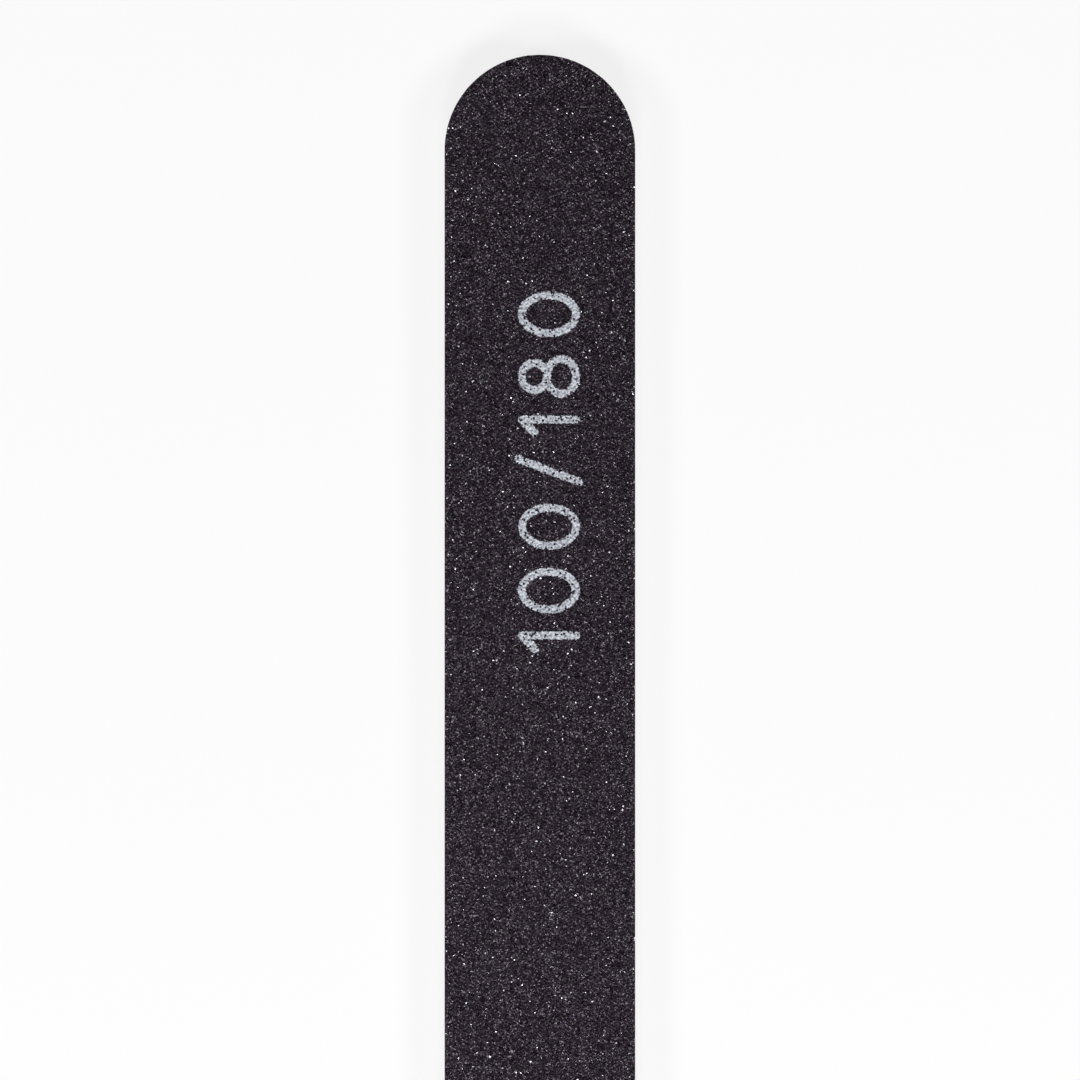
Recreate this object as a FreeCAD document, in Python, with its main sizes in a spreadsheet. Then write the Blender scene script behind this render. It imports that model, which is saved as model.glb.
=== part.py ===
# Cushioned nail file: a straight board with full-radius ends, made as a bonded sandwich.
#
# A stiff plastic core board runs through the middle. On each side of it lie, from the core
# outwards: a glue film, a foam cushion, a second glue film, a saturated paper backing, the
# resin make coat and the coat of abrasive grain. The front is the coarse face and the back
# the fine one. The board is die-cut in one stroke once it is bonded, so all layers share one
# outline, the sheets roll down a little at the cut, and the foam draws in behind them.
#
# Millimetres. The file lies flat on its back face: X runs across it, Y along it and Z through
# its thickness, with the origin under the middle of the board.

import FreeCAD
import Part
import Sketcher

import math
import os

doc = FreeCAD.newDocument("nail_file")

# Driving dimensions

SIZES = {
    # outline of the cut board
    "board_length": 178.0,
    "board_width": 19.0,
    # the stiff board in the middle
    "core_thickness": 0.9,
    "core_edge_chamfer": 0.07,
    # the glue films on the two faces of each foam cushion
    "core_glue_thickness": 0.07,
    "face_glue_thickness": 0.07,
    "glue_setback": 0.12,
    # the foam cushions
    "foam_thickness": 1.0,
    "foam_setback": 0.08,
    "foam_waist_depth": 0.18,
    # the coated abrasive sheets
    "backing_thickness": 0.21,
    "front_make_coat_thickness": 0.06,
    "front_grain_coat_thickness": 0.16,
    "back_make_coat_thickness": 0.04,
    "back_grain_coat_thickness": 0.09,
    # how far in and how far down the die rolls the sheets at the cut
    "roll_width": 0.6,
    "roll_drop": 0.11,
}

sheet = doc.addObject("Spreadsheet::Sheet", "Sizes")
for row, (alias, size) in enumerate(SIZES.items(), start=1):
    sheet.set(f"A{row}", alias)
    sheet.set(f"B{row}", str(size))
    sheet.setAlias(f"B{row}", alias)
doc.recompute()


def cell(alias):
    """A driving dimension as an expression."""
    return f"Sizes.{alias}"


def total(aliases):
    """The sum of driving dimensions as an expression."""
    return f"({' + '.join(cell(alias) for alias in aliases)})" if aliases else "0"


def value_of(expression):
    """What an expression comes to."""
    return float(sheet.evalExpression(expression))


# The outline, shared by all layers

HALF_WIDTH = f"({cell('board_width')} / 2)"
STRAIGHT_LENGTH = f"({cell('board_length')} - {cell('board_width')})"
HALF_TURN = 180

# The rolled edge. Each face in the stack follows an arc about one centre, so that every
# sheet keeps its thickness where it bends down.

ROLL_START = f"({HALF_WIDTH} - {cell('roll_width')})"
FOAM_ROLL_RADIUS = (
    f"(({cell('roll_width')} ^ 2 + {cell('roll_drop')} ^ 2) / (2 * {cell('roll_drop')}))"
)

# The edges that lie behind the cut, and the side of the foam between its two faces

GLUE_EDGE = f"({HALF_WIDTH} - {cell('glue_setback')})"
FOAM_EDGE = f"({HALF_WIDTH} - {cell('foam_setback')})"
FOAM_EDGE_DROP = (
    f"({FOAM_ROLL_RADIUS} - sqrt({FOAM_ROLL_RADIUS} ^ 2 - ({FOAM_EDGE} - {ROLL_START}) ^ 2))"
)
FOAM_SIDE = f"({cell('foam_thickness')} - {FOAM_EDGE_DROP})"
FOAM_WAIST_RADIUS = (
    f"((({FOAM_SIDE} / 2) ^ 2 + {cell('foam_waist_depth')} ^ 2)"
    f" / (2 * {cell('foam_waist_depth')}))"
)


# Drawing a half section, from the middle of the board out to its edge

START, END, CENTRE = 1, 2, 3
MIDDLE = (-1, START)
RIGHT_ANGLE = math.pi / 2


def line(sketch, first, last):
    ends = [FreeCAD.Vector(x, z, 0) for x, z in (first, last)]
    return sketch.addGeometry(Part.LineSegment(*ends), False)


def arc(sketch, centre, radius, first_angle, last_angle):
    circle = Part.Circle(FreeCAD.Vector(*centre, 0), FreeCAD.Vector(0, 0, 1), radius)
    return sketch.addGeometry(Part.ArcOfCircle(circle, first_angle, last_angle), False)


def hold(sketch, kind, *places):
    sketch.addConstraint(Sketcher.Constraint(kind, *places))


def drive(sketch, expression, kind, *places):
    """A dimension of the section that follows the driving dimensions."""
    constraint = Sketcher.Constraint(kind, *places, value_of(expression))
    index = sketch.addConstraint(constraint)
    sketch.setExpression(f"Constraints[{index}]", expression)


def close(sketch, *ends):
    """Joins the ends of the section's curves in twos."""
    for first, second in zip(ends[0::2], ends[1::2]):
        hold(sketch, "Coincident", *first, *second)


def flat_section(sketch, thickness, edge):
    """A layer with two flat faces and a straight edge."""
    right, top = value_of(edge), value_of(thickness)
    lower = line(sketch, (0, 0), (right, 0))
    side = line(sketch, (right, 0), (right, top))
    upper = line(sketch, (right, top), (0, top))
    middle = line(sketch, (0, top), (0, 0))
    close(sketch, (lower, END), (side, START), (side, END), (upper, START))
    close(sketch, (upper, END), (middle, START), (middle, END), (lower, START))
    close(sketch, (lower, START), MIDDLE)
    for flat in (lower, upper):
        hold(sketch, "Horizontal", flat)
    for upright in (side, middle):
        hold(sketch, "Vertical", upright)
    drive(sketch, edge, "DistanceX", lower, START, lower, END)
    drive(sketch, thickness, "DistanceY", side, START, side, END)


def core_section(sketch, thickness, edge):
    """The core board, with both corners of its cut edge broken."""
    right, top = value_of(edge), value_of(thickness)
    broken = value_of(cell("core_edge_chamfer"))
    corners = [
        (0, 0),
        (right - broken, 0),
        (right, broken),
        (right, top - broken),
        (right - broken, top),
        (0, top),
    ]
    sides = [line(sketch, a, b) for a, b in zip(corners, corners[1:] + corners[:1])]
    lower, lower_break, side, upper_break, upper, middle = sides
    for this, following in zip(sides, sides[1:] + sides[:1]):
        close(sketch, (this, END), (following, START))
    close(sketch, (lower, START), MIDDLE)
    for flat in (lower, upper):
        hold(sketch, "Horizontal", flat)
    for upright in (side, middle):
        hold(sketch, "Vertical", upright)
    drive(sketch, edge, "DistanceX", lower, START, side, START)
    drive(sketch, thickness, "DistanceY", middle, END, middle, START)
    for corner in (lower_break, upper_break):
        first, last = (START, END) if corner == lower_break else (END, START)
        drive(sketch, cell("core_edge_chamfer"), "DistanceX", corner, first, corner, last)
        drive(sketch, cell("core_edge_chamfer"), "DistanceY", corner, START, corner, END)


def foam_section(sketch, thickness, edge):
    """A foam cushion: flat on the core, rolled down outside, drawn in along its cut side."""
    right, top = value_of(edge), value_of(thickness)
    roll_start, roll_radius = value_of(ROLL_START), value_of(FOAM_ROLL_RADIUS)
    waist_radius, half_side = value_of(FOAM_WAIST_RADIUS), value_of(FOAM_SIDE) / 2
    waist_angle = math.asin(half_side / waist_radius)
    waist_centre = (right + waist_radius * math.cos(waist_angle), half_side)
    roll_angle = math.asin((right - roll_start) / roll_radius)
    lower = line(sketch, (0, 0), (right, 0))
    waist = arc(sketch, waist_centre, waist_radius, math.pi - waist_angle, math.pi + waist_angle)
    roll = arc(
        sketch, (roll_start, top - roll_radius), roll_radius, RIGHT_ANGLE - roll_angle, RIGHT_ANGLE
    )
    upper = line(sketch, (roll_start, top), (0, top))
    middle = line(sketch, (0, top), (0, 0))
    close(sketch, (lower, END), (waist, END), (waist, START), (roll, START))
    close(sketch, (roll, END), (upper, START), (upper, END), (middle, START))
    close(sketch, (middle, END), (lower, START), (lower, START), MIDDLE)
    for flat in (lower, upper):
        hold(sketch, "Horizontal", flat)
    hold(sketch, "Vertical", middle)
    hold(sketch, "Vertical", waist, START, waist, END)
    hold(sketch, "Vertical", roll, END, roll, CENTRE)
    drive(sketch, edge, "DistanceX", lower, START, lower, END)
    drive(sketch, thickness, "DistanceY", middle, END, middle, START)
    drive(sketch, ROLL_START, "DistanceX", upper, END, upper, START)
    drive(sketch, FOAM_ROLL_RADIUS, "Radius", roll)
    drive(sketch, FOAM_WAIST_RADIUS, "Radius", waist)


def rolled_section(sketch, thickness, edge, height):
    """A sheet that follows the foam's rolled edge, its inner face at a height above the foam."""
    right, top = value_of(edge), value_of(thickness)
    roll_start = value_of(ROLL_START)
    inner_expression = f"({FOAM_ROLL_RADIUS} + {height})"
    inner_radius = value_of(inner_expression)
    outer_radius = inner_radius + top
    centre = (roll_start, -inner_radius)
    inner_angle = math.asin((right - roll_start) / inner_radius)
    outer_angle = math.asin((right - roll_start) / outer_radius)
    cut = [
        (right, radius * math.cos(angle) - inner_radius)
        for radius, angle in ((inner_radius, inner_angle), (outer_radius, outer_angle))
    ]
    lower = line(sketch, (0, 0), (roll_start, 0))
    inner_roll = arc(sketch, centre, inner_radius, RIGHT_ANGLE - inner_angle, RIGHT_ANGLE)
    side = line(sketch, *cut)
    outer_roll = arc(sketch, centre, outer_radius, RIGHT_ANGLE - outer_angle, RIGHT_ANGLE)
    upper = line(sketch, (roll_start, top), (0, top))
    middle = line(sketch, (0, top), (0, 0))
    close(sketch, (lower, END), (inner_roll, END), (inner_roll, START), (side, START))
    close(sketch, (side, END), (outer_roll, START), (outer_roll, END), (upper, START))
    close(sketch, (upper, END), (middle, START), (middle, END), (lower, START))
    close(sketch, (lower, START), MIDDLE, (inner_roll, CENTRE), (outer_roll, CENTRE))
    for flat in (lower, upper):
        hold(sketch, "Horizontal", flat)
    for upright in (side, middle):
        hold(sketch, "Vertical", upright)
    for roll in (inner_roll, outer_roll):
        hold(sketch, "Vertical", roll, END, roll, CENTRE)
    drive(sketch, ROLL_START, "DistanceX", lower, START, lower, END)
    drive(sketch, edge, "DistanceX", lower, START, side, START)
    drive(sketch, thickness, "DistanceY", middle, END, middle, START)
    drive(sketch, inner_expression, "Radius", inner_roll)


# Turning a half section into a board-shaped layer

layers = []


def layer(name, draw, **sizes):
    """A layer with full-radius ends: its half section run along the straight, turned about
    the middle of one end, and mirrored to the other side and the other end."""
    body = doc.addObject("PartDesign::Body", name)
    body.Label = name
    plane = {feature.Role: feature for feature in body.Origin.OriginFeatures}
    section = body.newObject("Sketcher::SketchObject", f"{name}_section")
    section.AttachmentSupport = (plane["XZ_Plane"], [""])
    section.MapMode = "FlatFace"
    section.setExpression("AttachmentOffset.Base.z", f"-{STRAIGHT_LENGTH} / 2")
    draw(section, **sizes)
    doc.recompute()
    if not section.FullyConstrained:
        raise RuntimeError(f"{name}: its section is not fully constrained")

    straight = body.newObject("PartDesign::Pad", f"{name}_straight")
    straight.Profile = section
    straight.setExpression("Length", STRAIGHT_LENGTH)
    end = body.newObject("PartDesign::Revolution", f"{name}_end")
    end.Profile = section
    end.ReferenceAxis = (section, ["V_Axis"])
    end.Angle = HALF_TURN
    mirrors = (("other_side", straight, "YZ_Plane"), ("other_end", end, "XZ_Plane"))
    for suffix, feature, across in mirrors:
        mirror = body.newObject("PartDesign::Mirrored", f"{name}_{suffix}")
        mirror.Originals = [feature]
        mirror.MirrorPlane = (plane[across], [""])
        mirror.Refine = True
        body.Tip = mirror
        doc.recompute()
    layers.append(body)
    return body


def put(body, height, flipped):
    """Sets a layer's inner face at a height, and turns it over on the back of the board."""
    turn = FreeCAD.Rotation(FreeCAD.Vector(0, 1, 0), HALF_TURN if flipped else 0)
    body.Placement = FreeCAD.Placement(FreeCAD.Vector(0, 0, value_of(height)), turn)
    body.setExpression("Placement.Base.z", height)


# The sandwich, from the core outwards on each side

CUSHION = ["core_glue_thickness", "foam_thickness"]
FACINGS = {
    side: ["face_glue_thickness", "backing_thickness"]
    + [f"{side}_make_coat_thickness", f"{side}_grain_coat_thickness"]
    for side in ("front", "back")
}
CORE_BASE = total(CUSHION + FACINGS["back"])
CORE_TOP = f"({CORE_BASE} + {cell('core_thickness')})"

core_board = layer(
    "core_board", core_section, thickness=cell("core_thickness"), edge=HALF_WIDTH
)
put(core_board, CORE_BASE, flipped=False)


def cushion(side):
    """The glue film on the core and the foam cushion on top of it."""
    glue = layer(
        f"{side}_core_glue_film",
        flat_section,
        thickness=cell("core_glue_thickness"),
        edge=GLUE_EDGE,
    )
    foam = layer(
        f"{side}_foam_cushion", foam_section, thickness=cell("foam_thickness"), edge=FOAM_EDGE
    )
    return [(glue, []), (foam, CUSHION[:1])]


def facing(side):
    """The glue film on the foam and the coated abrasive sheet that it holds."""
    names = ["face_glue_film", "backing_paper", "make_coat", "grain_coat"]
    edges = [GLUE_EDGE, HALF_WIDTH, HALF_WIDTH, HALF_WIDTH]
    built = []
    for count, (name, edge) in enumerate(zip(names, edges)):
        under = FACINGS[side][:count]
        body = layer(
            f"{side}_{name}",
            rolled_section,
            thickness=cell(FACINGS[side][count]),
            edge=edge,
            height=total(under),
        )
        built.append((body, CUSHION + under))
    return built


for side in ("front", "back"):
    for body, under in cushion(side) + facing(side):
        if side == "front":
            put(body, f"({CORE_TOP} + {total(under)})", flipped=False)
        else:
            put(body, f"({CORE_BASE} - {total(under)})", flipped=True)
doc.recompute()


# Checking and writing the layers

for item in doc.Objects:
    if {"Invalid", "Error"} & set(item.State):
        raise RuntimeError(f"{item.Label} failed: {item.State}")

os.makedirs("parts", exist_ok=True)
for body in layers:
    shape = body.Shape
    if shape.isNull() or not shape.isValid() or len(shape.Solids) != 1:
        raise RuntimeError(f"{body.Label} is not one sound solid")
    # the plain BoundBox stands clear of the rolled edges, and this one fits them
    bounds = shape.optimalBoundingBox(True, False)
    print(
        f"{body.Label}: {bounds.XLength:.3f} x {bounds.YLength:.3f} x {bounds.ZLength:.3f} mm,"
        f" from z {bounds.ZMin:.3f}, {shape.Volume:.1f} mm3"
    )
    shape.exportStep(f"parts/{body.Label}.step")
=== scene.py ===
"""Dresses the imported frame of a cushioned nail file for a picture.

The grain coats, foam cushions, paper backings and core board are modelled again as the cut and
coated stuff that they are, and numbers are printed on the front grain. The resin coats and glue
films keep their solids and get a finish. Each operator makes or finishes one kind of piece, and the
last one sets the stage.
"""

import math

import bpy
import numpy as np
from bpy.props import FloatProperty, FloatVectorProperty, PointerProperty, StringProperty
from bpy.types import Operator, Panel, PropertyGroup
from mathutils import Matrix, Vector
from mathutils.geometry import delaunay_2d_cdt


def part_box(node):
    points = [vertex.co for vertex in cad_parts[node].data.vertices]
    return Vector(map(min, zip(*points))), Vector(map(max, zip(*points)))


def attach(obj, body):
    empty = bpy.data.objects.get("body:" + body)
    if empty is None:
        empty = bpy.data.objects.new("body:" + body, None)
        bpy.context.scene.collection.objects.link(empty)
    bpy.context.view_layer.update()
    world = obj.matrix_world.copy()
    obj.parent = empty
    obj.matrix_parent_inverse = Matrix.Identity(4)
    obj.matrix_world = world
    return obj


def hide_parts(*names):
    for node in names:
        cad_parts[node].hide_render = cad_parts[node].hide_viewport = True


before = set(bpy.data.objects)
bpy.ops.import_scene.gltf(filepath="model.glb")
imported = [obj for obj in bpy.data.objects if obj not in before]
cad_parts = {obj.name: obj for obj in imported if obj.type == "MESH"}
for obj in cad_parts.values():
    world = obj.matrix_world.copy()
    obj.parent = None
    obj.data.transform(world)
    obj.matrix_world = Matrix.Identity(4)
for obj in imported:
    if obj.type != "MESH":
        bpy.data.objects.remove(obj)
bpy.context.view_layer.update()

bl_info = {
    "name": "Cushioned Nail File",
    "version": (1, 0, 0),
    "blender": (4, 5, 0),
    "location": "View3D > Sidebar > Nail File",
    "description": "Grain, print, cut edges and studio for a cushioned nail file",
    "category": "Object",
}

MM = 0.001
BODY = "root"
SEED = 4
FACES = ("front", "back")

# The board, read from the frame

HALF_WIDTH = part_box("core_board")[1].x
HALF_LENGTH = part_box("core_board")[1].y
HALF_STRAIGHT = HALF_LENGTH - HALF_WIDTH
CORE_BOTTOM, CORE_TOP = (corner.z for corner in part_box("core_board"))
BOARD_MIDDLE = (CORE_BOTTOM + CORE_TOP) / 2
OUTLINE_LENGTH = 4 * HALF_STRAIGHT + 2 * math.pi * HALF_WIDTH

# The layers of each face, from the core outwards, roll down towards the cut from here on

LAYERS = (
    "core_glue_film",
    "foam_cushion",
    "face_glue_film",
    "backing_paper",
    "make_coat",
    "grain_coat",
)
ROLL_WIDTH = 0.6 * MM
ROLL_START = HALF_WIDTH - ROLL_WIDTH
ROLL_ROWS = 4

# How far in from the cut edge a rolled face has its outermost row of points

FOAM_LIP = 0.12 * MM
PAPER_LIP = 0.05 * MM

# The photograph, in its own pixels

PHOTO_SIDE_PX = 1080
FILE_MIDDLE_PX = 539.9
FILE_TIP_PX = 54.5
FILE_WIDTH_PX = 190.7


def linear(hex_colour):
    """An sRGB hex colour as linear RGBA."""
    shares = [int(hex_colour[place : place + 2], 16) / 255 for place in (1, 3, 5)]
    bent = [c / 12.92 if c <= 0.04045 else ((c + 0.055) / 1.055) ** 2.4 for c in shares]
    return (*bent, 1.0)


def size_setting(name, description, default, least=0.0):
    """A size or place in metres that a user can change."""
    return FloatProperty(
        name=name,
        description=description,
        default=default,
        min=least,
        unit="LENGTH",
        precision=6,
    )


def colour_setting(name, description, hex_colour):
    """A colour that a user can pick."""
    return FloatVectorProperty(
        name=name,
        description=description,
        default=linear(hex_colour),
        size=4,
        min=0.0,
        max=1.0,
        subtype="COLOR",
    )


# The outline and the layers


def outline(along):
    """Middle-line points and outward directions at distances along the cut outline."""
    lap = OUTLINE_LENGTH / 2
    turns, rest = np.divmod(along, lap)
    side = np.where(turns % 2 == 0, 1.0, -1.0)
    angle = np.clip((rest - 2 * HALF_STRAIGHT) / HALF_WIDTH, 0, math.pi)
    outward = np.stack([np.cos(angle), np.sin(angle)], -1) * side[:, None]
    middle_y = (np.minimum(rest, 2 * HALF_STRAIGHT) - HALF_STRAIGHT) * side
    middle = np.stack([np.zeros_like(middle_y), middle_y], -1)
    return middle, outward


def places_round(step):
    """Evenly spaced distances along the whole outline, about a step apart."""
    count = round(OUTLINE_LENGTH / step)
    return (np.arange(count) + 0.5) * OUTLINE_LENGTH / count


def reach(points):
    """How far points lie from the board's middle line, which ends where the end caps start."""
    past_straight = np.clip(np.abs(points[:, 1]) - HALF_STRAIGHT, 0, None)
    return np.hypot(points[:, 0], past_straight)


class Layer:
    """A layer of one face. Its heights count outwards from the middle of the board."""

    def __init__(self, face, kind):
        self.node = f"{face}_{kind}"
        self.side = 1 if face == "front" else -1
        low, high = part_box(self.node)
        self.edge = high.x
        self.lowest, self.highest = sorted(abs(z - BOARD_MIDDLE) for z in (low.z, high.z))
        place = LAYERS.index(kind)
        core_face = CORE_TOP - BOARD_MIDDLE
        self.base = Layer(face, LAYERS[place - 1]).highest if place else core_face

    def underside(self, distance):
        """Heights of the underside, which is flat and then rolls down in an arc, at distances
        from the board's middle line."""
        drop = self.base - self.lowest
        run = self.edge - ROLL_START
        radius = (run**2 + drop**2) / (2 * drop)
        past = np.clip(distance - ROLL_START, 0, None)
        return self.base - radius + np.sqrt(radius**2 - past**2)

    def z(self, height):
        return BOARD_MIDDLE + self.side * height


# Pieces and meshes


def make_piece(name, points, faces, finish, node=None):
    """A mesh piece on the body, in its finish, which stands for the node that is named."""
    mesh = bpy.data.meshes.new(name)
    mesh.from_pydata(points.tolist(), [], faces)
    mesh.materials.append(finish)
    if mesh.validate():
        raise RuntimeError(f"{name}: the mesh had faults")
    piece = bpy.data.objects.new(name, mesh)
    bpy.context.scene.collection.objects.link(piece)
    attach(piece, BODY)
    if node:
        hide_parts(node)
    return piece


def facing_out(faces, side):
    """Faces with their corners in the order that makes them face outwards on that side."""
    return faces if side > 0 else [face[::-1] for face in faces]


def ring_points(along, distances, heights, side=1):
    """Points of rings round the board, at distances from its middle line and at heights."""
    middle, outward = outline(along)
    rings = []
    for distance, height in zip(distances, heights):
        flat = middle + outward * np.broadcast_to(distance, along.shape)[:, None]
        level = BOARD_MIDDLE + side * np.broadcast_to(height, along.shape)
        rings.append(np.column_stack([flat, level]))
    return np.concatenate(rings)


def ring_faces(rings, count, side=1):
    """Faces between rings that follow on each other, with a flat cap on the first and last."""
    around = np.arange(count)
    after = (around + 1) % count
    faces = [around[::-1].tolist()]
    for ring in range(rings - 1):
        low, high = ring * count, (ring + 1) * count
        faces += np.stack([low + around, low + after, high + after, high + around], -1).tolist()
    faces.append(((rings - 1) * count + around).tolist())
    return facing_out(faces, side)


# The map that a baked copy of a piece is painted through

MAP_NAME = "OFBake"
SIDE_STRIPS = 7
STRIP_SIDE_GAP = 0.02
STRIP_END_GAP = 0.01

# The columns of the map that each part of a piece has, from 0 on its left to 1 on its right

RING_SIDE_COLUMNS = (0.0, 0.91)
RING_CAP_COLUMNS = ((0.92, 0.955), (0.965, 1.0))
GRAIN_FACET_COLUMNS = (0.0, 0.92)
GRAIN_FACET_STRIPS = 3
GRAIN_SIDE_COLUMNS = (0.93, 0.975)
GRAIN_CAP_COLUMNS = (0.985, 1.0)


def strip_places(strip, strips, across, along, columns):
    """Places on the map, in strips that stand side by side between two columns of it."""
    left, right = columns
    share = (strip + STRIP_SIDE_GAP + (1 - 2 * STRIP_SIDE_GAP) * across) / strips
    height = STRIP_END_GAP + (1 - 2 * STRIP_END_GAP) * along
    return np.stack([left + (right - left) * share, height], -1)


def give_map(piece, count, first_point, first_face, side_columns, flats):
    """Gives a piece a map with its cut side, whose rings have that count of points, unrolled
    into strips. Each of the flats is a run of faces, from a first to a last one, that is laid
    down in a number of strips between two columns of its own."""
    mesh = piece.data
    point = np.empty(len(mesh.loops), np.int32)
    mesh.loops.foreach_get("vertex_index", point)
    sizes = np.empty(len(mesh.polygons), np.int32)
    mesh.polygons.foreach_get("loop_total", sizes)
    face = np.repeat(np.arange(len(sizes)), sizes)

    # The cut side. The last face of a ring ends where the first one starts, one lap further on
    rings = (len(mesh.vertices) - first_point) // count
    ring, around = np.divmod(point - first_point, count)
    start = (face - first_face) % count
    around = np.where((start == count - 1) & (around == 0), count, around)
    each = math.ceil(count / SIDE_STRIPS)
    strip = start // each
    along = (around - strip * each) / each
    places = strip_places(strip, SIDE_STRIPS, ring / (rings - 1), along, side_columns)

    # The flat faces, each in the strip that its middle lies in
    spots = np.array([vertex.co for vertex in mesh.vertices])[point]
    x = spots[:, 0] / (2 * HALF_WIDTH) + 0.5
    y = spots[:, 1] / (2 * HALF_LENGTH) + 0.5
    middle = (np.bincount(face, y) / sizes)[face]
    for first, last, strips, columns in flats:
        strip = np.clip(np.floor(middle * strips), 0, strips - 1)
        laid = strip_places(strip, strips, x, y * strips - strip, columns)
        here = (face >= first) & (face <= last)
        places[here] = laid[here]
    mesh.uv_layers.new(name=MAP_NAME).uv.foreach_set("vector", places.astype("f").ravel())


def give_ring_map(piece, count):
    """Gives a piece that is all rings a map, with most of it for the cut side."""
    caps = 0, len(piece.data.polygons) - 1
    flats = [(cap, cap, 1, columns) for cap, columns in zip(caps, RING_CAP_COLUMNS)]
    give_map(piece, count, 0, 1, RING_SIDE_COLUMNS, flats)


# Materials

# Most values of a noise lie between these two

NOISE_ENDS = {"From Min": 0.3, "From Max": 0.7}

# The sockets of a Mix node share their names, so they go by number: 0 is the share, 2 and 3 are
# the numbers and 6 and 7 the colours that it mixes, and its output is 0 for numbers, 2 for colours


def add_node(tree, kind, sockets=None, **settings):
    """Adds a node, sets it up, and gives its sockets their values or links."""
    node = tree.nodes.new(kind)
    for name, value in settings.items():
        setattr(node, name, value)
    for name, value in (sockets or {}).items():
        if isinstance(value, bpy.types.NodeSocket):
            tree.links.new(value, node.inputs[name])
        else:
            node.inputs[name].default_value = value
    return node


def scale_for_spots(size):
    """The scale of a noise whose spots are about that size, in metres."""
    return 0.5 / size


def new_finish(name):
    """An empty node material, its tree and its object coordinates."""
    finish = bpy.data.materials.new(name)
    finish.use_nodes = True
    tree = finish.node_tree
    tree.nodes.clear()
    place = add_node(tree, "ShaderNodeTexCoord").outputs["Object"]
    return finish, tree, place


def close_finish(finish, sockets):
    """Ends a finish in the principled shader with those sockets."""
    tree = finish.node_tree
    shader = add_node(tree, "ShaderNodeBsdfPrincipled", sockets).outputs[0]
    add_node(tree, "ShaderNodeOutputMaterial", {"Surface": shader})
    return finish


def close_uneven_finish(finish, colours, share, pattern, roughness, depth, sockets):
    """Ends a finish that is uneven. Its colour goes from the first to the second with the share.
    Its roughness follows the pattern from one end to the other, and its height follows it by a
    depth in metres."""
    tree = finish.node_tree
    blend = {0: share, 6: colours[0], 7: colours[1]}
    shine = {"Value": pattern, **NOISE_ENDS, "To Min": roughness[0], "To Max": roughness[1]}
    relief = {"Height": pattern, "Distance": depth, "Strength": 1.0}
    uneven = {
        "Base Color": add_node(tree, "ShaderNodeMix", blend, data_type="RGBA").outputs[2],
        "Roughness": add_node(tree, "ShaderNodeMapRange", shine).outputs["Result"],
        "Normal": add_node(tree, "ShaderNodeBump", relief).outputs["Normal"],
    }
    return close_finish(finish, {**uneven, **sockets})


def give_finish(node, finish):
    """Puts a finish on a solid of the frame that stays."""
    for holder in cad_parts[node].material_slots:
        holder.material = finish


# The core board

CORE_STEP = 0.12 * MM

# The cut side as shares of its height and how far it draws in there: the die breaks the edge
# that it leaves by, and rounds the one that it enters

BREAK_LEAST = 0.01 * MM
BREAK_MOST = 0.04 * MM
BREAK_HEIGHT_SHARE = 0.07
ROUNDED_SIDE = (
    (0.3, 0.002 * MM),
    (0.6, 0.0),
    (0.86, 0.004 * MM),
    (0.96, 0.018 * MM),
    (1.0, 0.05 * MM),
)


class CoreSettings(PropertyGroup):
    colour: colour_setting("Plastic", "Colour of the core board", "#e9e7e2")
    striation: size_setting(
        "Striation depth", "How deep the die's scratches run in the cut side", 0.012 * MM
    )


def core_finish(colour):
    """High-impact polystyrene sheet, die-cut: an opaque, slightly warm white with a soft shine,
    paler where the die stressed it."""
    finish, tree, place = new_finish("polystyrene sheet, die-cut")
    stressed = {"Vector": place, "Scale": scale_for_spots(0.8 * MM)}
    scuffed = {"Vector": place, "Scale": scale_for_spots(0.1 * MM)}
    return close_uneven_finish(
        finish,
        colours=(tuple(colour), linear("#f6f5f1")),
        share=add_node(tree, "ShaderNodeTexNoise", stressed).outputs["Fac"],
        pattern=add_node(tree, "ShaderNodeTexNoise", scuffed).outputs["Fac"],
        roughness=(0.38, 0.6),
        depth=0.004 * MM,
        sockets={"IOR": 1.59},
    )


class NAILFILE_OT_core(Operator):
    """Cut the plastic core board, with the die's scratches down its side"""

    bl_idname = "nail_file.core"
    bl_label = "Cut Core Board"

    def execute(self, context):
        settings = context.scene.nail_file_core
        rng = np.random.default_rng([SEED, 10])
        along = places_round(CORE_STEP)
        scratch = settings.striation * rng.uniform(0, 1, along.shape) ** 3
        broken = rng.uniform(BREAK_LEAST, BREAK_MOST, along.shape)
        rows = (
            (0.0, broken),
            (BREAK_HEIGHT_SHARE, (broken - BREAK_LEAST) / 3),
            *ROUNDED_SIDE,
        )
        thickness = CORE_TOP - CORE_BOTTOM
        distances = [HALF_WIDTH - scratch - drawn_in for _, drawn_in in rows]
        heights = [CORE_BOTTOM - BOARD_MIDDLE + share * thickness for share, _ in rows]
        piece = make_piece(
            "core_plate",
            ring_points(along, distances, heights),
            ring_faces(len(rows), len(along)),
            core_finish(settings.colour),
            "core_board",
        )
        give_ring_map(piece, len(along))
        return {"FINISHED"}


# The foam cushions

FOAM_STEP = 0.09 * MM
FOAM_ROWS = 12
FOAM_ROW_SHAKE = 0.024 * MM

# The opened cells: their radii as shares of a whole cell's size, and how much of its own depth
# each is open. The spare rows of cells keep the grid's ends off the cut side

CELL_RADIUS_SHARES = (0.2, 0.7)
CELL_DEPTH_SHARE = 0.6
SPARE_CELL_ROWS = 4


class FoamSettings(PropertyGroup):
    colour: colour_setting("Foam", "Colour of the foam", "#1e1c20")
    waist: size_setting("Waist", "How far the cut side draws in half-way up", 0.18 * MM)
    cell: size_setting("Cell", "Size of the foam's cells", 0.2 * MM)


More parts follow.
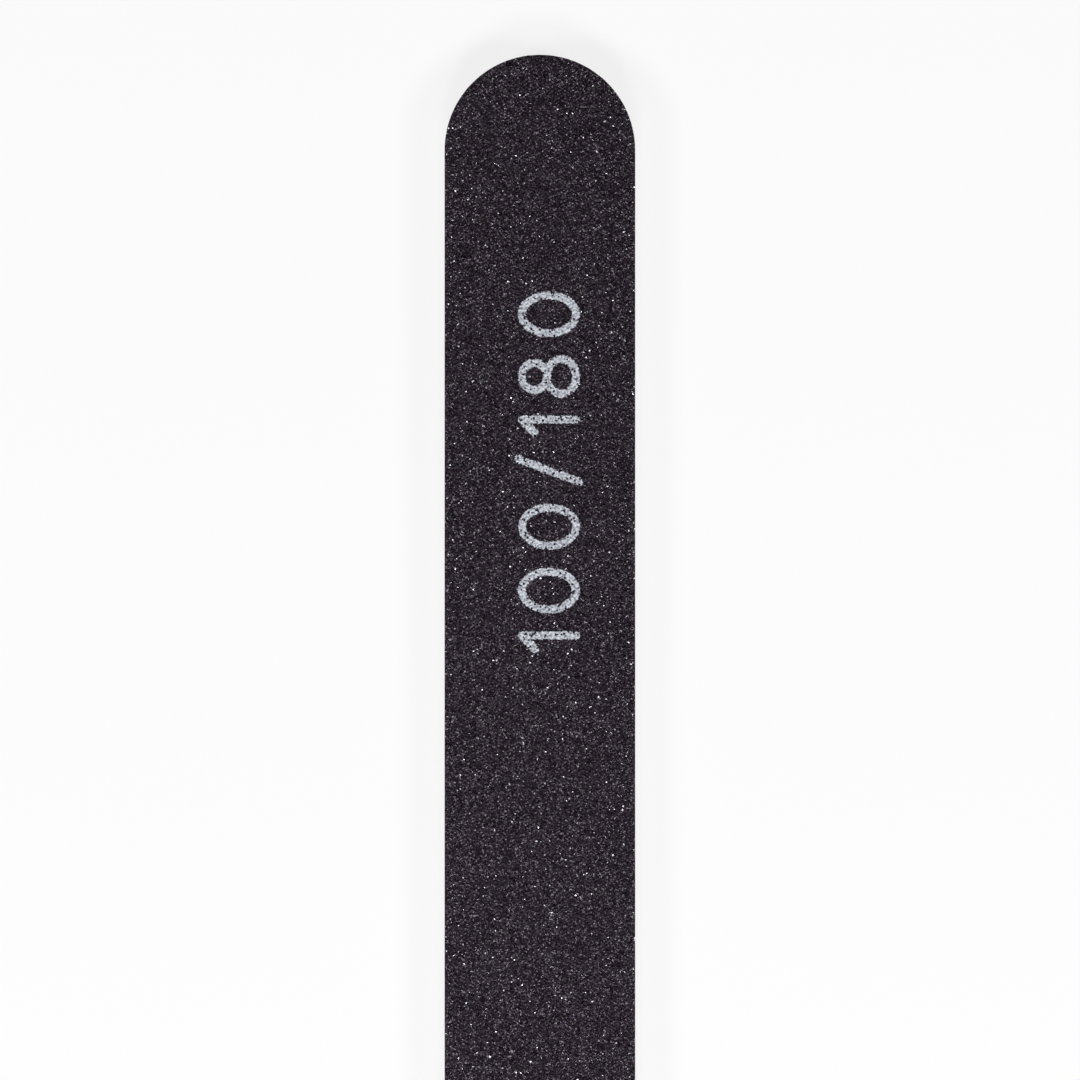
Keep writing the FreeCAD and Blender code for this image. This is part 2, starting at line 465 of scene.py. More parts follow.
def foam_finish(colour, cell):
    """Closed-cell EVA foam, die-cut: soft black and without shine. It is a little greyer on the
    thin walls between the cut cells and darker inside the cells, which is partly the cut foam and
    partly painted shade in the cells' hollows."""
    finish, tree, place = new_finish("EVA foam, die-cut")
    cells = {"Vector": place, "Scale": 1 / cell, "Randomness": 1.0}
    walls = add_node(tree, "ShaderNodeTexVoronoi", cells, feature="DISTANCE_TO_EDGE")
    # Darker inside the cells, greyer on their walls: partly the cut foam, partly painted shade in
    # the cells' hollows
    inside = {"Value": walls.outputs["Distance"], "From Min": 0.02, "From Max": 0.16}
    fine = {"Vector": place, "Scale": scale_for_spots(cell / 4)}
    return close_uneven_finish(
        finish,
        colours=(linear("#37343a"), tuple(colour)),
        share=add_node(tree, "ShaderNodeMapRange", inside).outputs["Result"],
        pattern=add_node(tree, "ShaderNodeTexNoise", fine).outputs["Fac"],
        roughness=(0.7, 0.9),
        depth=cell / 12,
        sockets={"IOR": 1.49, "Specular IOR Level": 0.35},
    )


def cut_cells(along, height, cell, rng):
    """How deep the cells that the die cut open reach in. One round cell lies somewhere in each
    square of a grid that is wrapped round the side."""
    across = round(OUTLINE_LENGTH / cell)
    step = OUTLINE_LENGTH / across
    up = int((height.max() - height.min()) / cell) + SPARE_CELL_ROWS
    right, above = rng.uniform(0, 1, (2, across, up))
    radius = rng.uniform(*CELL_RADIUS_SHARES, (across, up)) * cell
    column = np.floor(along / step).astype(int)
    row = np.floor((height - height.min()) / cell).astype(int) + 1
    depth = np.zeros_like(along)
    for next_column in (-1, 0, 1):
        for next_row in (-1, 0, 1):
            here = column + next_column, row + next_row
            own = here[0] % across, here[1]
            centre_along = (here[0] + right[own]) * step
            centre_up = height.min() + (here[1] - 1 + above[own]) * cell
            away = np.hypot(along - centre_along, height - centre_up)
            depth = np.maximum(depth, np.sqrt(np.clip(radius[own] ** 2 - away**2, 0, None)))
    return depth


def cut_foam(face, settings, finish, rng):
    """One foam cushion, with a waist and opened cells all round its cut side."""
    foam = Layer(face, "foam_cushion")
    film = Layer(face, "face_glue_film")
    along = places_round(FOAM_STEP)
    share = np.linspace(0, 1, FOAM_ROWS)[:, None]
    top = float(film.underside(np.array(foam.edge)))
    shake = rng.uniform(-FOAM_ROW_SHAKE, FOAM_ROW_SHAKE, (FOAM_ROWS, len(along)))
    height = foam.lowest + (top - foam.lowest) * share + shake * np.sin(math.pi * share)
    cells = cut_cells(np.broadcast_to(along, height.shape), height, settings.cell, rng)
    drawn_in = settings.waist * 4 * share * (1 - share) + CELL_DEPTH_SHARE * cells
    roll = np.linspace(foam.edge - FOAM_LIP, ROLL_START, ROLL_ROWS)
    distances = [*(foam.edge - drawn_in), *roll]
    heights = [*height, *film.underside(roll)]
    piece = make_piece(
        f"{face}_foam",
        ring_points(along, distances, heights, foam.side),
        ring_faces(len(distances), len(along), foam.side),
        finish,
        foam.node,
    )
    give_ring_map(piece, len(along))


class NAILFILE_OT_foam(Operator):
    """Cut the two foam cushions, with a waist and opened cells all round"""

    bl_idname = "nail_file.foam"
    bl_label = "Cut Foam Cushions"

    def execute(self, context):
        settings = context.scene.nail_file_foam
        finish = foam_finish(settings.colour, settings.cell)
        for count, face in enumerate(FACES):
            cut_foam(face, settings, finish, np.random.default_rng([SEED, 20 + count]))
        return {"FINISHED"}


# The paper backings

PAPER_STEP = 0.12 * MM
PAPER_ROWS = 6


class PaperSettings(PropertyGroup):
    colour: colour_setting("Paper", "Colour of the paper's cut side", "#262327")
    raggedness: size_setting(
        "Raggedness", "How far torn fibres make the cut side uneven", 0.02 * MM
    )


def paper_finish(colour):
    """Latex-saturated paper, dyed black and die-cut: matt, with paler torn fibres along the
    cut."""
    finish, tree, place = new_finish("latex-saturated paper, die-cut")
    # Fibres lie in the sheet, so they are drawn long in X and Y and thin in Z
    lying = add_node(
        tree, "ShaderNodeMapping", {"Vector": place, "Scale": (0.25, 0.25, 1.0)}
    ).outputs[0]
    threads = {"Vector": lying, "Scale": scale_for_spots(0.03 * MM), "Detail": 4.0}
    fibres = add_node(tree, "ShaderNodeTexNoise", threads).outputs["Fac"]
    torn = {"Value": fibres, "From Min": 0.55, "From Max": 0.75}
    return close_uneven_finish(
        finish,
        colours=(tuple(colour), linear("#5c585d")),
        share=add_node(tree, "ShaderNodeMapRange", torn).outputs["Result"],
        pattern=fibres,
        roughness=(0.65, 0.85),
        depth=0.01 * MM,
        sockets={"IOR": 1.5},
    )


def cut_paper(face, settings, finish, rng):
    """One backing, rolled down at its edge, with torn fibres round its cut side."""
    paper = Layer(face, "backing_paper")
    coat = Layer(face, "make_coat")
    along = places_round(PAPER_STEP)
    roll = np.linspace(ROLL_START, paper.edge - PAPER_LIP, ROLL_ROWS)
    share = np.linspace(0, 1, PAPER_ROWS)[:, None]
    torn = settings.raggedness * rng.uniform(0, 1, (len(share), len(along))) ** 2
    edge = np.array(paper.edge)
    low, high = float(paper.underside(edge)), float(coat.underside(edge))
    distances = [*roll, *(paper.edge - torn), *roll[::-1]]
    heights = [
        *paper.underside(roll),
        *np.broadcast_to(low + (high - low) * share, torn.shape),
        *coat.underside(roll[::-1]),
    ]
    piece = make_piece(
        f"{face}_backing",
        ring_points(along, distances, heights, paper.side),
        ring_faces(len(distances), len(along), paper.side),
        finish,
        paper.node,
    )
    give_ring_map(piece, len(along))


class NAILFILE_OT_paper(Operator):
    """Cut the two paper backings, rolled down at the edge"""

    bl_idname = "nail_file.paper"
    bl_label = "Cut Paper Backings"

    def execute(self, context):
        settings = context.scene.nail_file_paper
        finish = paper_finish(settings.colour)
        for count, face in enumerate(FACES):
            cut_paper(face, settings, finish, np.random.default_rng([SEED, 30 + count]))
        return {"FINISHED"}


# The resin coats and the glue films


def resin_finish():
    """Phenolic make coat, cured: a hard, very dark brown resin with a wet shine."""
    finish, tree, place = new_finish("phenolic resin, cured")
    puddles = {"Vector": place, "Scale": scale_for_spots(0.5 * MM)}
    flow = add_node(tree, "ShaderNodeTexNoise", puddles).outputs["Fac"]
    return close_uneven_finish(
        finish,
        colours=(linear("#120c0d"), linear("#24191a")),
        share=flow,
        pattern=flow,
        roughness=(0.22, 0.4),
        depth=0.01 * MM,
        sockets={"IOR": 1.6},
    )


def glue_finish():
    """Acrylic transfer adhesive: a clear, faintly yellow film that lets light through."""
    finish, tree, place = new_finish("acrylic adhesive, transfer film")
    smears = {"Vector": place, "Scale": scale_for_spots(0.4 * MM)}
    flow = add_node(tree, "ShaderNodeTexNoise", smears).outputs["Fac"]
    return close_uneven_finish(
        finish,
        colours=(linear("#d9d2bd"), linear("#e8e4d6")),
        share=flow,
        pattern=flow,
        roughness=(0.3, 0.5),
        depth=0.01 * MM,
        sockets={"IOR": 1.47, "Transmission Weight": 0.6},
    )


class NAILFILE_OT_bonds(Operator):
    """Finish the resin coats and the glue films, whose solids stay"""

    bl_idname = "nail_file.bonds"
    bl_label = "Finish Resin and Glue"

    def execute(self, context):
        resin, glue = resin_finish(), glue_finish()
        for face in FACES:
            give_finish(f"{face}_make_coat", resin)
            give_finish(f"{face}_core_glue_film", glue)
            give_finish(f"{face}_face_glue_film", glue)
        return {"FINISHED"}


# The abrasive grain

# The lattice, in shares of the facet spacing

LATTICE_SHAKE_SHARE = 0.3
RIM_MARGIN_SHARE = 0.55
RIM_SHAKE_SHARE = 0.2
RIM_NOTCH_SHARE = 0.12

# Heights of the facets' corners, in shares of the coat's depth

TIP_HEIGHT_SHARES = (0.62, 1.0)
LOW_TIP_SHARE = 0.08
LOW_TIP_HEIGHT_SHARE = 0.3
VALLEY_HEIGHT_SHARE = 0.5
RIM_HEIGHT_SHARES = (0.15, 0.85)

# What the triangulation takes: only what the rim encloses, and how near two corners may be

WITHIN_RIM = 1
SAME_CORNER = 1e-9


class GrainSettings(PropertyGroup):
    spacing: size_setting(
        "Facet spacing", "Distance between the corners of the grain's facets", 0.21 * MM
    )
    dark: colour_setting("Dark facets", "Colour of the darkest facets", "#010001")
    light: colour_setting("Light facets", "Colour of the lightest facets", "#2a1e2c")
    bare: FloatProperty(
        name="Bare chips",
        description="Share of the grain's chips that show crystal without resin",
        default=0.1,
        min=0.0,
        max=1.0,
        subtype="FACTOR",
    )


def chips(tree, place, chip, lean):
    """The normals of flat chips that lean each its own way, and a random number for each."""
    cells = add_node(
        tree, "ShaderNodeTexVoronoi", {"Vector": place, "Scale": 1 / chip, "Randomness": 1.0}
    ).outputs
    middled = {0: cells["Color"], 1: (0.5, 0.5, 0.5)}
    way = add_node(tree, "ShaderNodeVectorMath", middled, operation="SUBTRACT").outputs[0]
    facet = add_node(tree, "ShaderNodeNewGeometry").outputs["Normal"]
    leaning = {0: way, 1: (lean, lean, lean), 2: facet}
    turned = add_node(tree, "ShaderNodeVectorMath", leaning, operation="MULTIPLY_ADD").outputs[0]
    normal = add_node(tree, "ShaderNodeVectorMath", {0: turned}, operation="NORMALIZE").outputs[0]
    own = add_node(tree, "ShaderNodeTexWhiteNoise", {"Vector": cells["Position"]}).outputs["Value"]
    return normal, own


def grit_finish(name, chip, settings):
    """Black silicon carbide grain under a thin coat of phenolic resin. The resin is nearly black
    with a violet cast and shines softly. The chips that it left bare are what glints: their
    crystal, whose index is 2.65, mirrors a fifth of the light, as a dark metal would."""
    finish, tree, place = new_finish(name)
    tone = add_node(tree, "ShaderNodeAttribute", attribute_name="grain_tone").outputs["Fac"]
    tones = {0: tone, 6: tuple(settings.dark), 7: tuple(settings.light)}
    resin = add_node(tree, "ShaderNodeMix", tones, data_type="RGBA").outputs[2]
    ripples = {"Vector": place, "Scale": scale_for_spots(chip / 2)}
    flow = add_node(tree, "ShaderNodeTexNoise", ripples).outputs["Fac"]
    shine = {"Value": flow, "From Min": 0.35, "From Max": 0.65, "To Min": 0.22, "To Max": 0.34}
    matt = add_node(tree, "ShaderNodeMapRange", shine).outputs["Result"]
    normal, own = chips(tree, place, chip, lean=0.9)
    few = {"Value": own, "From Min": 1 - settings.bare}
    bare = add_node(tree, "ShaderNodeMapRange", few).outputs["Result"]
    colour = {0: bare, 6: resin, 7: linear("#808084")}
    roughness = {0: bare, 2: matt, 3: 0.16}
    return close_finish(
        finish,
        {
            "Base Color": add_node(tree, "ShaderNodeMix", colour, data_type="RGBA").outputs[2],
            "Metallic": bare,
            "Roughness": add_node(tree, "ShaderNodeMix", roughness).outputs[0],
            "IOR": 1.5,
            "Specular IOR Level": 0.42,
            "Specular Tint": linear("#fdeeff"),
            "Normal": normal,
        },
    )


def grain_lattice(spacing, rng):
    """A shaken triangular lattice inside the outline. Every third point is a grain's tip, so
    each tip stands among six lower points."""
    row_step = spacing * math.sqrt(3) / 2
    rows = int(HALF_LENGTH / row_step)
    columns = int(HALF_WIDTH / spacing) + 1
    column, row = np.meshgrid(np.arange(-columns, columns), np.arange(-rows, rows + 1))
    shifted = row % 2
    points = np.stack([(column + 0.5 * shifted) * spacing, row * row_step], -1).reshape(-1, 2)
    is_tip = ((column - (row - shifted) // 2 - row) % 3 == 0).ravel()
    shake = LATTICE_SHAKE_SHARE * spacing
    points = points + rng.uniform(-shake, shake, points.shape)
    inside = reach(points) < HALF_WIDTH - RIM_MARGIN_SHARE * spacing
    return points[inside], is_tip[inside]


def inside_rim(points, facets, first_of_rim):
    """Facets without those outside the rim, whose points come last and run anticlockwise. The
    corners of one outside it are all on the rim, and run clockwise when taken in order."""
    a, b, c = points[np.sort(facets, axis=1)].transpose(1, 2, 0)
    clockwise = (b - a)[0] * (c - a)[1] < (b - a)[1] * (c - a)[0]
    return facets[~clockwise | (facets < first_of_rim).any(1)]


def grain_facets(points, first_of_rim):
    """Triangles between the points inside the rim, whose own points come last."""
    rim = list(range(first_of_rim, len(points)))
    corners, _, facets, *_ = delaunay_2d_cdt(
        [Vector(point) for point in points], [], [rim], WITHIN_RIM, SAME_CORNER, False
    )
    if len(corners) != len(points):
        raise RuntimeError("the grain's facets need corners of their own")
    return inside_rim(points, np.array(facets), first_of_rim)


def grain_heights(is_tip, rim_count, rng):
    """Heights as shares of the coat's depth, with a low tip now and then."""
    count = len(is_tip) + rim_count
    high = rng.uniform(0, 1, count) > LOW_TIP_SHARE
    tip = np.where(high, rng.uniform(*TIP_HEIGHT_SHARES, count), LOW_TIP_HEIGHT_SHARE)
    valley = VALLEY_HEIGHT_SHARE * rng.uniform(0, 1, count) ** 0.8
    height = np.where(np.append(is_tip, np.zeros(rim_count, bool)), tip, valley)
    height[len(is_tip) :] = rng.uniform(*RIM_HEIGHT_SHARES, rim_count)
    return height


def lay_grain(face, spacing, finish, rng):
    """One grain coat: facets over the lattice, a ragged cut edge and the side on the resin."""
    grain = Layer(face, "grain_coat")
    inner, is_tip = grain_lattice(spacing, rng)
    along = places_round(spacing)
    shake = RIM_SHAKE_SHARE * spacing
    middle, outward = outline(along + rng.uniform(-shake, shake, along.shape))
    ragged = HALF_WIDTH - rng.uniform(0, RIM_NOTCH_SHARE * spacing, along.shape)
    rim = middle + outward * ragged[:, None]

    flat = np.concatenate([inner, rim])
    ring = len(inner) + np.arange(len(rim))
    facets = grain_facets(flat, len(inner))
    raised = grain_heights(is_tip, len(rim), rng) * (grain.highest - grain.base)
    top = np.column_stack([flat, grain.z(grain.underside(reach(flat)) + raised)])

    under = ring_points(
        along, [ragged, ROLL_START], [grain.underside(ragged), grain.base], grain.side
    )
    count = len(rim)
    step = np.arange(count)
    after = (step + 1) % count
    low, inward = len(top) + step, len(top) + count + step
    wall = np.stack([low, len(top) + after, ring[after], ring], -1)
    below = np.stack([inward, len(top) + count + after, len(top) + after, low], -1)
    faces = [*facets.tolist(), *wall.tolist(), *below.tolist(), inward[::-1].tolist()]
    piece = make_piece(
        f"{face}_grit",
        np.concatenate([top, under]),
        facing_out(faces, grain.side),
        finish,
        grain.node,
    )
    last = len(faces) - 1
    flats = [
        (0, len(facets) - 1, GRAIN_FACET_STRIPS, GRAIN_FACET_COLUMNS),
        (last, last, 1, GRAIN_CAP_COLUMNS),
    ]
    give_map(piece, count, len(inner), len(facets), GRAIN_SIDE_COLUMNS, flats)
    tone = piece.data.attributes.new("grain_tone", "FLOAT", "FACE")
    tone.data.foreach_set("value", rng.uniform(0, 1, len(faces)))


class NAILFILE_OT_grain(Operator):
    """Lay coarse grain on the front and finer grain on the back"""

    bl_idname = "nail_file.grain"
    bl_label = "Lay Grain"

    def execute(self, context):
        settings = context.scene.nail_file_grain
        # The back's real facets would be too fine to show, so it has the front's, half as high
        # and broken into finer chips
        for count, (face, slot, chips_across) in enumerate(
            (("front", "coarse_grain", 1.6), ("back", "fine_grain", 2.6))
        ):
            finish = grit_finish(
                f"silicon carbide, resin-coated, {slot.replace('_', ' ')}",
                settings.spacing / chips_across,
                settings,
            )
            rng = np.random.default_rng([SEED, count])
            lay_grain(face, settings.spacing, finish, rng)
        return {"FINISHED"}


# The printed numbers

# Ink fills the coat up to this share of it, lies this thick on the tips, and has its underside
# this far inside the grain

INK_LEVEL_SHARE = 0.3
INK_OVER = 0.012 * MM
INK_UNDER = 0.01 * MM

# How the film is cut out of the grain's facets: parts to each side of one, how far outside the
# stroke they are looked at, how ragged its rim is, and its pits

FACET_PARTS = 4
NEAR_STROKE = 0.3 * MM
RIM_RAGGEDNESS = (-0.08 * MM, 0.05 * MM)
PITS_EACH_AREA = 4.2 / MM**2
PIT_RADII = (0.05 * MM, 0.13 * MM)
SAME_POINT = 1e-4 * MM


class PrintSettings(PropertyGroup):
    text: StringProperty(
        name="Numbers",
        description="Grit numbers to print, from 0, 1, 8 and /",
        default="100/180",
    )
    height: size_setting("Height", "Height of the numbers", 6.2 * MM)
    stroke: size_setting("Stroke", "Width of the stroke", 0.8 * MM)
    gap: size_setting("Gap", "Space between two numbers", 1.78 * MM)
    across: size_setting(
        "Across", "Middle of the print across the file", 0.9 * MM, least=-HALF_WIDTH
    )
    along: size_setting(
        "Along", "Middle of the print along the file", 47.4 * MM, least=-HALF_LENGTH
    )
    colour: colour_setting("Ink", "Colour of the ink", "#dfe3ec")


OVAL_POINTS = 49


def oval(width, low, high, middle):
    """A closed line round an oval, in shares of the number's height."""
    angle = np.linspace(0, 2 * math.pi, OVAL_POINTS)
    across = middle + width / 2 * np.cos(angle)
    return np.stack([across, (low + high) / 2 + (high - low) / 2 * np.sin(angle)], -1)


# The middle lines of plain numbers, as wide as they are in shares of their height

NUMBER_LINES = {
    "0": [oval(0.7, 0.0, 1.0, 0.35)],
    "1": [np.array([(0.0, 0.76), (0.25, 1.0), (0.25, 0.0)])],
    "8": [oval(0.5, 0.54, 1.0, 0.32), oval(0.64, 0.0, 0.54, 0.32)],
    "/": [np.array([(0.0, -0.06), (0.42, 1.06)])],
}


def number_strokes(settings):
    """Start and end points on the board of all straight bits of the print's middle lines. The
    print reads up the file: its right is +Y and its top is -X."""
    tall = settings.height - settings.stroke
    lines, pen = [], 0.0
    for sign in settings.text:
        if sign not in NUMBER_LINES:
            raise RuntimeError(f"the print has no lines for {sign!r}")
        for line in NUMBER_LINES[sign]:
            lines.append(line * tall + [pen, 0])
        width = max(line[:, 0].max() for line in NUMBER_LINES[sign]) * tall
        pen += width + settings.stroke + settings.gap
    half = (pen - settings.stroke - settings.gap) / 2
    turned = [
        np.column_stack([settings.across + tall / 2 - v, settings.along + u - half])
        for u, v in (line.T for line in lines)
    ]
    starts = np.concatenate([line[:-1] for line in turned])
    ends = np.concatenate([line[1:] for line in turned])
    return starts, ends


def away_from(points, starts, ends):
    """How far each point is from the nearest of the straight bits."""
    nearest = np.full(len(points), np.inf)
    for start, end in zip(starts, ends):
        run = end - start
        share = np.clip((points - start) @ run / (run @ run), 0, 1)
        nearest = np.minimum(nearest, np.hypot(*(points - start - share[:, None] * run).T))
    return nearest


def facets_split(corners, parts):
    """Triangles split into parts along each side, as shared points and point numbers."""
    rows = [(i, j) for i in range(parts + 1) for j in range(parts + 1 - i)]
    number = {place: count for count, place in enumerate(rows)}
    shares = np.array([(parts - i - j, i, j) for i, j in rows]) / parts
    small = []
    for i, j in rows:
        if i + j < parts:
            small.append((number[i, j], number[i + 1, j], number[i, j + 1]))
        if i + j < parts - 1:
            small.append((number[i + 1, j], number[i + 1, j + 1], number[i, j + 1]))
    every = np.einsum("sc,fcd->fsd", shares, corners)
    keys = np.round(every[..., :2].reshape(-1, 2) / SAME_POINT).astype(np.int64)
    _, first, shared = np.unique(keys, axis=0, return_index=True, return_inverse=True)
    shared = shared.reshape(every.shape[:2])
    return every.reshape(-1, 3)[first], shared[:, np.array(small)].reshape(-1, 3)


def open_edges(triangles):
    """The directed sides of triangles that no other triangle shares."""
    sides = np.concatenate([triangles[:, [0, 1]], triangles[:, [1, 2]], triangles[:, [2, 0]]])
    there = {tuple(side) for side in sides.tolist()}
    return np.array([side for side in sides.tolist() if (side[1], side[0]) not in there])


def without_pinches(triangles):
    """Triangles without those that meet others at a single corner only, and their open sides."""
    while True:
        rim = open_edges(triangles)
        corner, times = np.unique(rim[:, 0], return_counts=True)
        pinched = corner[times > 1]
        if not len(pinched):
            return triangles, rim
        triangles = triangles[~np.isin(triangles, pinched).any(1)]


def ink_finish(colour):
    """Screen-printed ink, opaque and matt: a cool silver grey that dried uneven on the grain."""
    finish, tree, place = new_finish("screen-printed ink, silver grey")
    mottle = {"Vector": place, "Scale": scale_for_spots(0.12 * MM), "Detail": 1.0}
    cover = add_node(tree, "ShaderNodeTexNoise", mottle).outputs["Fac"]
    patches = {"Value": cover, "From Min": 0.33, "From Max": 0.6}
    return close_uneven_finish(
        finish,
        colours=(linear("#8b8f99"), tuple(colour)),
        share=add_node(tree, "ShaderNodeMapRange", patches).outputs["Result"],
        pattern=cover,
        roughness=(0.5, 0.65),
        depth=0.01 * MM,
        sockets={"IOR": 1.5},
    )


def inked_triangles(settings, rng):
    """Points and triangles of the front grain that the ink covers, and their open sides. Ink leaves
    out small round pits at random places in its strokes."""
    mesh = bpy.data.objects["front_grit"].data
    points = np.array([vertex.co for vertex in mesh.vertices])
    facets = np.array([face.vertices for face in mesh.polygons if len(face.vertices) == 3])
    starts, ends = number_strokes(settings)

    # Only facets near the strokes are split
    middles = points[facets].mean(1)[:, :2]
    nearby = settings.stroke / 2 + NEAR_STROKE
    lowest, highest = starts.min(0) - nearby, ends.max(0) + nearby
    near = ((middles > lowest) & (middles < highest)).all(1)
    facets, middles = facets[near], middles[near]
    facets = facets[away_from(middles, starts, ends) < nearby]
    sheet, small = facets_split(points[facets], FACET_PARTS)

    middles = sheet[small].mean(1)[:, :2]
    ragged = np.repeat(rng.uniform(*RIM_RAGGEDNESS, len(facets)), FACET_PARTS**2)
    inked = away_from(middles, starts, ends) < settings.stroke / 2 + ragged
    a, b, c = sheet[small].transpose(1, 0, 2)
    area = inked.sum() * np.linalg.norm(np.cross(b - a, c - a), axis=1).mean() / 2
    pits = middles[inked][rng.integers(0, inked.sum(), int(PITS_EACH_AREA * area))]
    for pit, radius in zip(pits, rng.uniform(*PIT_RADII, len(pits))):
        inked &= np.hypot(*(middles - pit).T) > radius

    small, rim = without_pinches(small[inked])
    used, small = np.unique(small, return_inverse=True)
    return sheet[used], small.reshape(-1, 3), np.searchsorted(used, rim)


class NAILFILE_OT_print(Operator):
    """Print the grit numbers on the front grain"""

    bl_idname = "nail_file.print"
    bl_label = "Print Numbers"

    def execute(self, context):
        settings = context.scene.nail_file_print
        sheet, small, rim = inked_triangles(settings, np.random.default_rng([SEED, 40]))

        # The film fills the low places up to a level, and lies thin on the tips
        grain = Layer("front", "grain_coat")
        level = grain.z(grain.base + INK_LEVEL_SHARE * (grain.highest - grain.base))
        over, under = sheet.copy(), sheet.copy()
        over[:, 2] = np.maximum(sheet[:, 2], level) + INK_OVER
        under[:, 2] -= INK_UNDER
        count = len(sheet)
        wall = np.column_stack([rim[:, 1], rim[:, 0], rim[:, 0] + count, rim[:, 1] + count])
        faces = small.tolist() + (small[:, ::-1] + count).tolist() + wall.tolist()
        make_piece(
            "grit_numbers",
            np.concatenate([over, under]),
            faces,
            ink_finish(settings.colour),
        )
        return {"FINISHED"}


# The stage

# The cove's profile is a flat floor, whose middle is one face, then a bend and a low wall

COVE_INNER = 0.5
COVE_FLAT = 2.4
COVE_BEND = 0.4
COVE_WALL = 0.7
COVE_SIDES = 96
BEND_STEPS = 12

# How far from the middle the paper's shadows start to fade, and where they are gone

SHADOW_FADE = {"From Min": 0.2, "From Max": 0.8}
SIDE_LAMP_SETBACK = 0.18
CAMERA_CLIP = (0.01, 10.0)


class StageSettings(PropertyGroup):
    lens: FloatProperty(
        name="Lens",
        description="Focal length of the camera over the board",
        default=150.0,
        unit="CAMERA",
    )
    lamp_power: FloatProperty(
        name="Lamp power", description="Power of the three lamps", default=4.4, unit="POWER"
    )
    lamp_side: size_setting("Lamp side", "Side of each square lamp", 0.16)
    lamp_distance: size_setting(
        "Lamp distance", "How far each lamp stands to the side, and how high", 0.42
    )
    ceiling: FloatProperty(
        name="Ceiling", description="Strength of the light from overhead", default=0.04
    )
    shadow_share: FloatProperty(
        name="Shadow share",
        description="How much of the white paper takes light and shadow",
        default=0.2,
        min=0.0,
        max=1.0,
        subtype="FACTOR",
    )


def seen_directly(tree):
    """1 for rays from the camera, and for what shiny and clear surfaces show, and else 0."""
    path = add_node(tree, "ShaderNodeLightPath").outputs
    shiny = {0: path["Is Camera Ray"], 1: path["Is Glossy Ray"]}
    seen = add_node(tree, "ShaderNodeMath", shiny, operation="MAXIMUM").outputs[0]
    clear = {0: seen, 1: path["Is Transmission Ray"]}
    return add_node(tree, "ShaderNodeMath", clear, operation="MAXIMUM").outputs[0]


def make_cove(settings):
    """Matt white paper that runs from the floor up into a low wall all round. It is lit from
    within for the eye, so that it stays white, and still takes a soft shadow."""
    finish, tree, place = new_finish("matt white studio paper")
    paper = {"Color": linear("#ffffff"), "Roughness": 0.5}
    glow = {"Color": linear("#ffffff"), "Strength": 1.0}
    away = add_node(tree, "ShaderNodeVectorMath", {0: place}, operation="LENGTH").outputs["Value"]
    fade = {"Value": away, **SHADOW_FADE, "To Min": 1 - settings.shadow_share}
    glow_share = add_node(tree, "ShaderNodeMapRange", fade).outputs["Result"]
    lit = {0: seen_directly(tree), 1: glow_share}
    sockets = {
        0: add_node(tree, "ShaderNodeMath", lit, operation="MULTIPLY").outputs[0],
        1: add_node(tree, "ShaderNodeBsdfDiffuse", paper).outputs[0],
        2: add_node(tree, "ShaderNodeEmission", glow).outputs[0],
    }
    mixed = add_node(tree, "ShaderNodeMixShader", sockets).outputs[0]
    add_node(tree, "ShaderNodeOutputMaterial", {"Surface": mixed})

    # The profile as distances and heights, then turned round the middle
    turn = np.linspace(0, math.pi / 2, BEND_STEPS + 1)
    distances = [COVE_INNER, *(COVE_FLAT + COVE_BEND * np.sin(turn)), COVE_FLAT + COVE_BEND]
    heights = [0.0, *(COVE_BEND - COVE_BEND * np.cos(turn)), COVE_WALL]
    angle = np.arange(COVE_SIDES) * 2 * math.pi / COVE_SIDES
    rings = [
        np.column_stack([out * np.cos(angle), out * np.sin(angle), np.full(COVE_SIDES, up)])
        for out, up in zip(distances, heights)
    ]
    faces = ring_faces(len(rings), COVE_SIDES, side=-1)[:-1]
    mesh = bpy.data.meshes.new("cove")
    mesh.from_pydata(np.concatenate(rings).tolist(), [], faces)
    mesh.materials.append(finish)
    mesh.shade_smooth()
    cove = bpy.data.objects.new("cove", mesh)
    bpy.context.scene.collection.objects.link(cove)


def make_lamp(name, place, side, power):
    """A square lamp that points at the shown part of the board."""
    lamp = bpy.data.lights.new(name, "AREA")
    lamp.shape, lamp.size, lamp.energy = "SQUARE", side, power
    holder = bpy.data.objects.new(name, lamp)
    aim = Vector((0, HALF_LENGTH / 2, 0))
    holder.location = place
    holder.rotation_euler = (aim - Vector(place)).to_track_quat("-Z", "Y").to_euler()
    bpy.context.scene.collection.objects.link(holder)


def make_ceiling(settings):
    """The dim, even ceiling of the studio."""
    world = bpy.data.worlds.new("studio ceiling")
    world.use_nodes = True
    tree = world.node_tree
    tree.nodes.clear()
    sockets = {"Color": linear("#ffffff"), "Strength": settings.ceiling}
    surface = add_node(tree, "ShaderNodeBackground", sockets).outputs[0]
    add_node(tree, "ShaderNodeOutputWorld", {"Surface": surface})
    bpy.context.scene.world = world


def make_camera(settings):
    """A long lens straight over the board, framed as the photograph is."""
    pixel = 2 * HALF_WIDTH / FILE_WIDTH_PX
    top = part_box("front_grain_coat")[1].z
    camera = bpy.data.cameras.new("camera")
    camera.lens = settings.lens
    camera.clip_start, camera.clip_end = CAMERA_CLIP
    holder = bpy.data.objects.new("camera", camera)
    away = PHOTO_SIDE_PX * pixel * camera.lens / camera.sensor_width
    across = (PHOTO_SIDE_PX / 2 - FILE_MIDDLE_PX) * pixel
    up = HALF_LENGTH - (PHOTO_SIDE_PX / 2 - FILE_TIP_PX) * pixel
    holder.location = (across, up, top + away)
    bpy.context.scene.collection.objects.link(holder)
    bpy.context.scene.camera = holder


